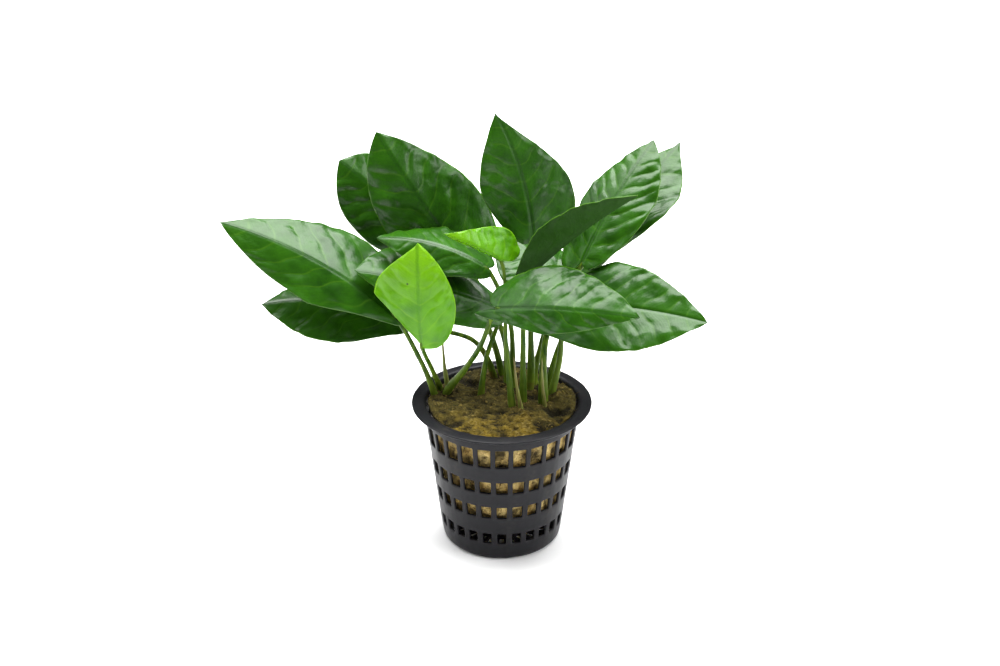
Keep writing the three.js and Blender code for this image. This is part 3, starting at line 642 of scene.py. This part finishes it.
# Each leaf: base is where the petiole meets the blade, tip the point, roll the turn about the line
# between them, foot where the petiole leaves the wool in shares of the plug radius, through the
# points it passes and stem its radius at each end. Millimetres, heights above the rim.
leaves = [
    {"name": "left_large", "base": [-32.3, 3, 26.5], "tip": [-85.5, 12, 54], "width": 31, "roll": -40,
     "sway": 0.04, "fold": [-14, -18], "wave": 0.7, "waves": 2.5, "phase": 0.4, "lobe": [0.08, 0.22],
     "widest": [0.42, 0.34], "blunt": [0.5, 0.3], "uneven": 0.2, "taper": [0.9, 0],
     "foot": [-0.921, 0.204], "through": [[-24.7, 3.9, 10]], "stem": [1.0, 0.8]},
    {"name": "left_low", "base": [-31, 14, 19.5], "tip": [-74, 8, 28.5], "width": 28, "roll": -24,
     "arch": 0.06, "sway": 0.06, "fold": [-14, -14], "wave": 0.6, "phase": 2.0, "widest": [0.45, 0.42],
     "blunt": [0.62, 0.5], "taper": [0.7, 0], "foot": [-0.104, 0.695], "through": [[-9, 16, 12.5]],
     "stem": [1.0, 0.75]},
    {"name": "back_left", "base": [-22, 38, 38.2], "tip": [-51.5, 38, 65.2], "width": 29, "roll": -58,
     "arch": 0.04, "fold": [-10, -14], "wave": 0.6, "phase": 1.0, "widest": [0.45, 0.45],
     "blunt": [0.75, 0.75], "foot": [0.004, 0.773], "through": [[-5.5, 21, 18]], "stem": [1.0, 0.75],
     "pleat": 0.42},
    {"name": "upper_left", "base": [-10.6, 24, 34.7], "tip": [-38.5, 28, 77.5], "width": 33,
     "roll": -64, "sway": -0.02, "fold": [-10, -12], "wave": 0.7, "waves": 2.5, "widest": [0.42, 0.33],
     "blunt": [0.74, 0.36], "uneven": 0.11, "foot": [0.087, 0.582], "through": [[0.5, 14.6, 15]],
     "pleat": 0.4},
    {"name": "middle_left", "base": [-4.4, 5.5, 41.8], "tip": [-38, 11, 49.2], "width": 24, "roll": -14,
     "arch": 0.1, "fold": [-35, -12], "waves": 2, "phase": 0.8, "uneven": 0.26, "taper": [0.4, 0],
     "foot": [0.143, 0.43], "through": [[2.6, 8.6, 22]], "stem": [1.05, 0.75]},
    {"name": "young_front", "base": [-23.9, -12, 23.5], "tip": [-24.4, -9, 55.2], "width": 25,
     "roll": -20, "arch": 0.04, "fold": [-6, -10], "curl": [-10, -16], "wave": 0.4, "waves": 1.5,
     "phase": 0.5, "lobe": [0.05, 0.05], "widest": [0.5, 0.38], "blunt": [0.2, 0.5], "uneven": -0.14,
     "taper": [1.35, 0], "foot": [-0.851, 0.343], "through": [[-21.3, 1, 9]], "stem": [0.95, 0.75],
     "pleat": 0.14},
    {"name": "young_centre", "base": [-0.1, -1, 46.4], "tip": [-17.2, -4, 56.4], "width": 14.5,
     "roll": -60, "arch": 0.06, "fold": [-110, 0], "foldTip": [-90, 0], "wave": 0.4, "waves": 2.5,
     "phase": 0.5, "lobe": [0, 0.3], "widest": [0.3, 0.12], "blunt": [0.3, 0], "uneven": 0.34,
     "foot": [0.139, -0.191], "through": [[1.3, -3.4, 20]], "stem": [1.1, 0.55], "pleat": 0.12},
    {"name": "top", "base": [9.5, 12.5, 48.4], "tip": [-1.9, 16.5, 86.7], "width": 29, "roll": -52,
     "arch": 0.02, "sway": 0.05, "fold": [-4, -4], "curl": [-4, -4], "waves": 1.6,
     "lobe": [0.06, 0.08], "widest": [0.42, 0.25], "blunt": [0.36, 0], "uneven": 0.08,
     "taper": [0.5, 0], "foot": [0.391, 0.434], "through": [[9, 11, 24]],
     "pleat": 0.12},
    {"name": "folded", "base": [6.4, 3, 38.7], "tip": [38.8, -8, 69.5], "width": 18.5, "roll": 0,
     "arch": 0.03, "fold": [40, 55], "foldTip": [45, 50], "curl": [10, 10], "wave": 0.3, "waves": 1.5,
     "lobe": [0.08, 0.08], "uneven": 0.14, "taper": [0.8, 0.8], "foot": [0.287, -0.017],
     "through": [[6.5, -0.6, 20]], "stem": [1.15, 0.8]},
    {"name": "upper_right", "base": [24.6, 10, 42.3], "tip": [47, 30, 74.2], "width": 25, "roll": 8,
     "fold": [-8, -8], "curl": [-8, -8], "wave": 0.6, "waves": 2.5, "lobe": [0.2, 0.1],
     "widest": [0.36, 0.45], "blunt": [0.42, 0.62], "taper": [0, 0.3], "foot": [0.56, 0.009],
     "through": [[13.4, 3.4, 18], [18.4, 10.4, 32.5]], "stem": [1.4, 0.85], "pleat": 0.36, "veins": 9},
    {"name": "back_right", "base": [28.4, 22, 33.4], "tip": [56.9, 44, 69.3], "width": 28, "roll": 10,
     "fold": [-8, 40], "foldTip": [-8, -15], "curl": [-8, -8], "widest": [0.5, 0.5],
     "blunt": [0.15, 0.3], "uneven": 0.03, "taper": [0, 0.65], "foot": [0.651, 0.43],
     "through": [[18, 12, 12]], "stem": [1.1, 0.8]},
    {"name": "front_right", "base": [-1.5, -12, 36], "tip": [38.8, -28, 40], "width": 23, "roll": 50,
     "arch": 0.08, "fold": [-12, -14], "lobe": [0.12, 0.3], "widest": [0.3, 0.36], "blunt": [0.5, 0.3],
     "uneven": -0.34, "taper": [0.3, 0.6], "foot": [-0.756, 0.208],
     "through": [[-11.7, -0.6, 10], [-6.4, -7, 21.5]], "stem": [1.2, 0.75]},
    {"name": "right_low", "base": [19.4, 4, 29.9], "tip": [60.3, -14, 32.2], "width": 30.6, "roll": 38,
     "arch": 0.08, "fold": [8, 6], "curl": [-8, -10], "wave": 0.6, "lobe": [0.05, 0.3],
     "widest": [0.3, 0.42], "blunt": [0.36, 0.4], "uneven": 0.02, "taper": [0.55, 0],
     "foot": [0.677, 0.156], "through": [[18, 4.6, 11]]},
    {"name": "centre_shaded", "base": [-0.6, 8, 27.5], "tip": [-44.5, 5, 41], "width": 26, "roll": -36,
     "arch": 0.06, "waves": 2, "widest": [0.38, 0.5], "blunt": [0.4, 0.95], "uneven": 0.2,
     "taper": [0, 0.7], "foot": [-0.282, 0.156], "through": [[-4.8, 4, 12]], "stem": [1.05, 0.75]},
    {"name": "back_centre", "base": [18, 17.5, 31.4], "tip": [-0.5, 38, 41.5], "width": 26, "roll": -10,
     "fold": [-10, -10], "curl": [-8, -8], "wave": 0.4, "waves": 2, "foot": [0.452, 0.643],
     "through": [[13, 16, 13]], "stem": [1.1, 0.8]},
]
leaves = [{**typical_blade, "foldTip": leaf.get("fold", typical_blade["fold"]), **leaf} for leaf in leaves]

BLADE_ROWS = 110
BLADE_COLUMNS = 30
BLADE_THICKNESS = 0.42
BLADE_END = 0.15  # half the thickness at the tip and at the petiole
SHOULDER = 0.3  # the share of the rows that the lobe takes
LOBE_ROOM = 0.2  # how far behind the petiole a wedge closes, as a share of the length


def margin(lobe, widest, blunt, u):
    """How far along and out the margin is at each row, as shares of the length and half width."""
    t = np.clip(u / SHOULDER, 0, 1)
    s = 1 - t
    lobe_along = 3 * s * s * t * (-1.5 * lobe) + 3 * s * t * t * (widest - 0.38) + t ** 3 * widest
    lobe_out = 3 * s * s * t * 0.3 + 3 * s * t * t + t ** 3
    t = np.clip((u - SHOULDER) / (1 - SHOULDER), 0, 1)
    s = 1 - t
    tip_along = s ** 3 * widest + 3 * s * s * t * (widest + 0.24) + 3 * s * t * t * 0.88 + t ** 3
    tip_out = s ** 3 + 3 * s * s * t + 3 * s * t * t * blunt
    in_lobe = u < SHOULDER
    return np.where(in_lobe, lobe_along, tip_along), np.where(in_lobe, lobe_out, tip_out)


def blade_frame(leaf):
    """The blade's base, its length and its own directions: along, across and out of its face."""
    lift = np.array((0, 0, POT_HEIGHT))
    base = np.array(leaf["base"], float) + lift
    chord = np.array(leaf["tip"], float) + lift - base
    length = np.linalg.norm(chord)
    along = chord / length
    face = np.array((0, 0, 1.0)) - along * along[2]
    face /= np.linalg.norm(face)
    roll = math.radians(leaf["roll"])
    face = face * math.cos(roll) + np.cross(along, face) * math.sin(roll)
    return base, length, along, np.cross(along, face), face


def blade_sheet(leaf, u, v):
    """Places on the blade's middle surface, the direction out of its face there, and how far
    along and out each place is. v runs from -1 at the left margin to 1 at the right."""
    base, length, along, across, face = blade_frame(leaf)
    reach = np.abs(v)
    side = np.where(v < 0, -1.0, 1.0)

    def by_hand(name):
        return np.where(v < 0, leaf[name][0], leaf[name][1])

    edge, spread = margin(by_hand("lobe"), by_hand("widest"), by_hand("blunt"), u)
    wedge = np.clip((edge + LOBE_ROOM) / (by_hand("widest") + LOBE_ROOM), 0, 1)
    out = spread * reach * (1 + (wedge - 1) * by_hand("taper"))
    share = u + (edge - u) * reach ** 1.15
    bend = 4 * share * (1 - share)
    fold = by_hand("fold") + (by_hand("foldTip") - by_hand("fold")) * np.clip(share, 0, 1)
    tilt = np.radians(fold + 0.5 * by_hand("curl") * out)
    ripple = leaf["wave"] * out * out * np.sin(2 * np.pi * leaf["waves"] * share + leaf["phase"] + side)
    half = 0.5 * leaf["width"] * (1 + side * leaf["uneven"])
    upright = face + along * (leaf["arch"] * (8 * share - 4))[..., None]
    upright /= np.linalg.norm(upright, axis=-1, keepdims=True)
    middle = (base + along * (share * length)[..., None] + face * (length * leaf["arch"] * bend)[..., None]
              + across * (length * leaf["sway"] * bend + side * half * out * np.cos(tilt))[..., None]
              + upright * (half * out * np.sin(tilt) + ripple)[..., None])
    lean = tilt * np.minimum(1, 4 * out)
    normal = upright * np.cos(lean)[..., None] - across * (side * np.sin(lean))[..., None]
    return middle, normal, share, out, half


def blade_faces(count_rows, count_columns):
    """The two skins, the strip that joins them round the margin, and the fans at foot and tip."""
    count = count_rows * count_columns
    foot_top, foot_under, tip_top, tip_under = range(2 * count, 2 * count + 4)
    faces = []
    for r in range(count_rows - 1):
        for c in range(count_columns - 1):
            a = r * count_columns + c
            b = a + count_columns
            faces.append((a, b, b + 1, a + 1))
            faces.append((count + a, count + a + 1, count + b + 1, count + b))
        for c, flip in ((0, False), (count_columns - 1, True)):
            a = r * count_columns + c
            b = a + count_columns
            faces.append((a, count + a, count + b, b) if not flip else (a, b, count + b, count + a))
    last_row = (count_rows - 1) * count_columns
    for c in range(count_columns - 1):
        faces.append((foot_top, c, c + 1))
        faces.append((foot_under, count + c + 1, count + c))
        faces.append((tip_top, last_row + c + 1, last_row + c))
        faces.append((tip_under, count + last_row + c, count + last_row + c + 1))
    right = count_columns - 1
    faces += [(foot_top, foot_under, count, 0), (foot_under, foot_top, right, count + right),
              (tip_under, tip_top, last_row, count + last_row),
              (tip_top, tip_under, count + last_row + right, last_row + right)]
    return faces


def blade_mesh(leaf):
    rows = np.linspace(0, 1, BLADE_ROWS + 1)[1:-1]
    steps = np.linspace(-1, 1, 2 * BLADE_COLUMNS + 1)
    columns = np.sign(steps) * np.abs(steps) ** 1.3
    u, v = np.meshgrid(rows, columns, indexing="ij")
    middle, normal, share, out, half = blade_sheet(leaf, u, v)
    reach = np.abs(v)
    seed = leaf["phase"] * 7 + leaf["width"]
    wander = np.array([[noise.noise(Vector((5 * s + seed, 3 * o * sign, seed))) for s, o, sign in zip(*row)]
                       for row in zip(share, out, np.sign(v))])
    crumple = np.array([[noise.fractal(Vector((p[0] + seed, p[1], p[2])) * 0.16, 1, 2, 3) for p in row]
                        for row in middle])
    forward = 0.30 * out ** 1.35 * smoothstep(-0.15, 0.35, share)
    phase = leaf["veins"] * (share - forward) + 0.35 * wander
    between = np.abs((phase % 1) * 2 - 1)
    quilt = (1 - between ** 2.4) - 0.6
    fade = smoothstep(0.02, 0.3, out) * (1 - smoothstep(0.86, 1.0, reach)) * (1 - smoothstep(0.8, 1.0, share))
    frill = np.sin(2 * np.pi * (phase * 0.5 + 0.3 * np.sign(v)) + 3 * wander)
    margin_frill = leaf["frill"] * smoothstep(0.7, 1, reach) * frill
    relief = leaf["pleat"] * quilt * fade + 0.5 * crumple * smoothstep(0, 0.5, out) + margin_frill
    distance = half * out
    thin = 1 - 0.5 * smoothstep(0.75, 1, reach)
    groove = 0.38 * np.exp(-(distance / 0.55) ** 2) * (1 - 0.7 * share)
    rib = (0.75 - 0.6 * np.clip(share, 0, 1)) * np.exp(-(distance / 0.75) ** 2)
    thickness = 0.5 * BLADE_THICKNESS * thin
    top = middle + normal * (relief - groove + thickness)[..., None]
    under = middle + normal * (relief - rib - thickness)[..., None]
    foot = blade_sheet(leaf, np.zeros((1, 1)), np.zeros((1, 1)))
    point = blade_sheet(leaf, np.ones((1, 1)), np.zeros((1, 1)))
    ends = [end[0][0, 0] + up * BLADE_END * end[1][0, 0] for end in (foot, point) for up in (1, -1)]
    vertices = np.concatenate((top.reshape(-1, 3), under.reshape(-1, 3), ends)) * MM
    mesh = bpy.data.meshes.new(leaf["name"])
    mesh.from_pydata(vertices.tolist(), [], blade_faces(*u.shape))
    shown = {"phase": phase, "rim": reach, "out": out, "along": share}
    for name, values in shown.items():
        flat = values.reshape(-1)
        at_ends = [flat[0], flat[0], flat[-1], flat[-1]] if name != "rim" else [0, 0, 1, 1]
        everywhere = np.concatenate((flat, flat, at_ends))
        mesh.attributes.new(name, "FLOAT", "POINT").data.foreach_set("value", everywhere)
    side = np.concatenate((np.zeros(u.size), np.ones(u.size), (0, 1, 0, 1)))
    mesh.attributes.new("underside", "FLOAT", "POINT").data.foreach_set("value", side)
    mesh.shade_smooth()
    return mesh


def blade_finish(name, lamina, deep, vein, tip, under, gloss):
    finish = Finish(name, {"Specular IOR Level": 0.12, "Coat Roughness": 0.25})

    def attribute(which):
        return finish.node("ShaderNodeAttribute", {"attribute_name": which}, out="Fac")

    phase = attribute("phase")
    out = attribute("out")
    rim = attribute("rim")
    beneath = attribute("underside")
    centred = phase.math("FRACT", phase) * 2.0 - 1.0
    to_vein = centred.math("ABSOLUTE", centred)
    side_veins = finish.ramp(to_vein, 0.86, 1.0) * finish.ramp(rim, 0.99, 0.6)
    fine = (phase * 6.0).math("FRACT", phase * 6.0) * 2.0 - 1.0
    fine_veins = finish.ramp(fine.math("ABSOLUTE", fine), 0.6, 1.0)
    midrib = finish.ramp(out, 0.055, 0.02)
    mottle = finish.noise(160, 5)
    speckle = finish.noise(1400, 3)
    colour = finish.blend(finish.ramp(mottle, 0.3, 0.7), deep, lamina)
    # Painted light: along the blade the colour goes over to the tip colour, painted shade on the lower blade
    # and a painted highlight toward the tip of the young leaves.
    colour = finish.blend(0.7 * finish.ramp(attribute("along"), 0.4, 1.0), colour, tip)
    colour = finish.blend(0.18 * fine_veins, colour, deep)
    colour = finish.blend(0.45 * side_veins, colour, vein)
    colour = finish.blend(0.5 * midrib, colour, deep)
    # Painted shade: the underside colour is darker than the upper side's, for the shade under the blades.
    colour = finish.blend(beneath, colour, under)
    colour = finish.blend(finish.ramp(rim, 0.975, 0.995), colour, vein)
    spots = finish.node("ShaderNodeTexVoronoi", {}, {"Vector": finish.place, "Scale": 95.0})
    blemish = finish.ramp(spots, 0.055, 0.035) * finish.ramp(finish.noise(60, 1), 0.55, 0.62)
    colour = finish.blend(blemish, colour, rgb(0.012, 0.014, 0.004))
    finish.show("Base Color", colour)
    finish.show("Coat Weight", gloss * (1.0 - beneath))
    finish.show("Roughness", 0.28 + 0.16 * mottle + 0.2 * beneath)
    grain = 0.3 * speckle - 0.12 * fine_veins + 1.4 * finish.noise(420, 3)
    finish.bump(grain, 0.00022, 0.6)
    return finish


# The underside colour, the last colour of each, is darker as painted shade.
mature = blade_finish("mature_leaf", rgb(0.021, 0.098, 0.001), rgb(0.008, 0.045, 0.001),
                      rgb(0.050, 0.14, 0.006), rgb(0.017, 0.080, 0.001), rgb(0.010, 0.045, 0.001), 0.32)
# The young leaf's light tip colour is a painted highlight over the painted shade of its lower blade.
young = blade_finish("young_leaf", rgb(0.10, 0.31, 0.0005), rgb(0.05, 0.19, 0.0004), rgb(0.16, 0.38, 0.004),
                     rgb(0.20, 0.46, 0.006), rgb(0.09, 0.26, 0.002), 0.25)

for leaf in leaves:
    blade = plain_object(f"leaf_{leaf['name']}", blade_mesh(leaf))
    fresh = leaf["name"].startswith("young")
    blade.data.materials.append((young if fresh else mature).material)
    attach(blade, "root")
    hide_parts(f"blade_{leaf['name']}")

# ---- Petioles --------------------------------------------------------------------------------
# The leaf stalks: fleshy and firm, widest in the sheath at their foot, with a slight swelling
# just below the blade, where each runs on as the rib under its midrib.

STALK_STEPS = 120
PETIOLE_RISE = 0.6  # of the place where it leaves the wool, above the wool's even top
PETIOLE_SETBACK = 0.4  # of its upper end, from the blade's base


def nearest_on_rhizome(place):
    spots_along = np.concatenate((smooth_route(stem_line, 160), smooth_route(branch_line, 160)))
    return spots_along[np.argmin(np.linalg.norm(spots_along - place, axis=1))]


def stalk_route(leaf):
    base, length, along, across, face = blade_frame(leaf)
    foot = in_plug(leaf["foot"][0], leaf["foot"][1], WOOL_TOP + PETIOLE_RISE)
    start = nearest_on_rhizome(foot)
    aside = (foot - start) * (1, 1, 0)
    aside *= min(1, 0.75 * BRANCH_RADIUS / max(np.linalg.norm(aside), 1e-6))
    through = [np.array(p) + (0, 0, POT_HEIGHT) for p in leaf["through"]]
    joint = base - face * (0.65 + 0.6 * leaf["stem"][1]) - along * PETIOLE_SETBACK
    rib = base + along * 2.6 - face * (0.35 + 0.3 * leaf["stem"][1]) + face * length * leaf["arch"] * 0.2
    return smooth_route([start + aside, foot, *through, joint, rib], STALK_STEPS)


def stalk_radii(leaf):
    t = np.linspace(0, 1, STALK_STEPS)
    lower, upper = leaf["stem"]
    sheath = 0.28 * lower * (1 - smoothstep(0.12, 0.42, t))
    knee = 0.16 * upper * np.exp(-((t - 0.93) / 0.03) ** 2)
    radius = lower + (upper - lower) * t + sheath - 0.12 + knee
    radius *= 1 - 0.6 * smoothstep(0.955, 1.0, t)
    return radius


stalk_skin = Finish("petiole_skin", {"Specular IOR Level": 0.16})
length_streaks = stalk_skin.noise(900, 3, (1, 1, 0.06))
blush = stalk_skin.noise(75, 3)
level = stalk_skin.node("ShaderNodeSeparateXYZ", {}, {0: stalk_skin.place}, out=2)
green = stalk_skin.blend(stalk_skin.ramp(length_streaks, 0.35, 0.65),
                         rgb(0.014, 0.055, 0.001), rgb(0.09, 0.16, 0.006))
near_foot = stalk_skin.ramp(level, 0.062, 0.046)
paler = stalk_skin.blend(0.8 * near_foot * stalk_skin.ramp(blush, 0.35, 0.6), green, rgb(0.20, 0.28, 0.03))
browned = stalk_skin.blend(near_foot * stalk_skin.ramp(blush, 0.62, 0.72), paler, rgb(0.16, 0.08, 0.03))
stalk_skin.show("Base Color", browned)
stalk_skin.show("Roughness", 0.34 + 0.2 * length_streaks)
stalk_skin.bump(length_streaks, 0.00025, 0.6)
stalk = stem_tree("stalk", stalk_skin.material)
for leaf in leaves:
    stalk_line = route_mesh("stalk_line", [(stalk_route(leaf), stalk_radii(leaf))])
    petiole = grown(f"stalk_{leaf['name']}", stalk_line, stalk,
                    {"Sides": 18, "Uneven": 0.22 * MM, "Grain": 260.0})
    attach(petiole, "root")
    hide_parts(f"petiole_{leaf['name']}")

# ---- Dry sheaths -----------------------------------------------------------------------------
# The pointed scales that once wrapped a young leaf, dried to thin straw-coloured slips.

# Each: its foot in shares of the plug's radius, how far its point stands from it, its radius.
SHEATHS = [("sheath_left", (-0.73, 0.382), (-1.8, 1, 20.5), 0.95),
           ("sheath_front", (0.278, -0.243), (-2.8, -1, 20.5), 0.8),
           ("sheath_right", (0.591, -0.143), (-1.4, -0.3, 19), 0.75)]
SHEATH_DEPTH = 1.6  # of its foot below the wool's top
SHEATH_STEPS = 50
straw = Finish("dry_sheath", {"Specular IOR Level": 0.4, "Roughness": 0.5})
straw_streaks = straw.noise(1100, 3, (1, 1, 0.08))
straw.show("Base Color", straw.blend(straw.ramp(straw_streaks, 0.35, 0.68),
                                     rgb(0.26, 0.32, 0.06), rgb(0.17, 0.13, 0.04)))
straw.bump(straw_streaks, 0.0003)
straw_stem = stem_tree("straw_scale", straw.material)
for name, foot, rise, radius in SHEATHS:
    heel = in_plug(foot[0], foot[1], WOOL_TOP - SHEATH_DEPTH)
    point = heel + rise
    scale_line = smooth_route([heel, 0.5 * (heel + point) - (0.4, 0, 0), point], SHEATH_STEPS)
    steps = np.linspace(0, 1, SHEATH_STEPS)
    radii = radius * (1 - 0.8 * steps) * np.sqrt(np.clip((1 - steps) * 12, 0.02, 1))
    scale = grown(f"dry_{name}", route_mesh("scale_line", [(scale_line, radii)]), straw_stem,
                  {"Sides": 12, "Uneven": 0.3 * MM, "Grain": 400.0})
    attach(scale, "root")
    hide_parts(name)

# ---- Setting ---------------------------------------------------------------------------------
# A plain white floor, a strong softbox overhead, a weaker one on each side, and the camera in front.

CAMERA_PITCH = 24.7

floor_mesh = bpy.data.meshes.new("floor")
floor_mesh.from_pydata([(-4, -4, 0), (4, -4, 0), (4, 4, 0), (-4, 4, 0)], [], [(0, 1, 2, 3)])
ground = plain_object("floor", floor_mesh)
ground_paint = Finish("white_floor", {"Roughness": 0.9, "Specular IOR Level": 0.2,
                                      "Base Color": rgb(0.9, 0.9, 0.9)})
ground.data.materials.append(ground_paint.material)


def softbox(name, place, target, width, depth, power):
    light = bpy.data.lights.new(name, "AREA")
    light.shape = "RECTANGLE"
    light.size = width
    light.size_y = depth
    light.energy = power
    lamp = bpy.data.objects.new(name, light)
    lamp.location = place
    lamp.rotation_euler = (Vector(target) - Vector(place)).to_track_quat("-Z", "Y").to_euler()
    bpy.context.scene.collection.objects.link(lamp)


softbox("overhead", (0.0, 0.28, 1.0), (0.0, 0.03, 0.0), 1.15, 0.9, 42)
softbox("left", (-1.3, 0.1, 0.8), (0.0, 0.0, 0.08), 1.4, 1.0, 12)
softbox("right", (1.1, -0.40, 0.80), (0.0, 0.0, 0.1), 0.8, 0.8, 15)

world = bpy.data.worlds.new("room")
world.use_nodes = True
world.node_tree.nodes["Background"].inputs["Color"].default_value = rgb(1, 1, 1)
world.node_tree.nodes["Background"].inputs["Strength"].default_value = 0.1
bpy.context.scene.world = world
bpy.context.scene.view_settings.view_transform = "Standard"

lens = bpy.data.cameras.new("camera")
lens.lens = 50
lens.sensor_width = 36
lens.clip_start = 0.01
camera = bpy.data.objects.new("camera", lens)
camera.location = (-0.00055, -0.3844, 0.2463)
camera.rotation_euler = (math.radians(90 - CAMERA_PITCH), 0, 0)
bpy.context.scene.collection.objects.link(camera)
bpy.context.scene.camera = camera
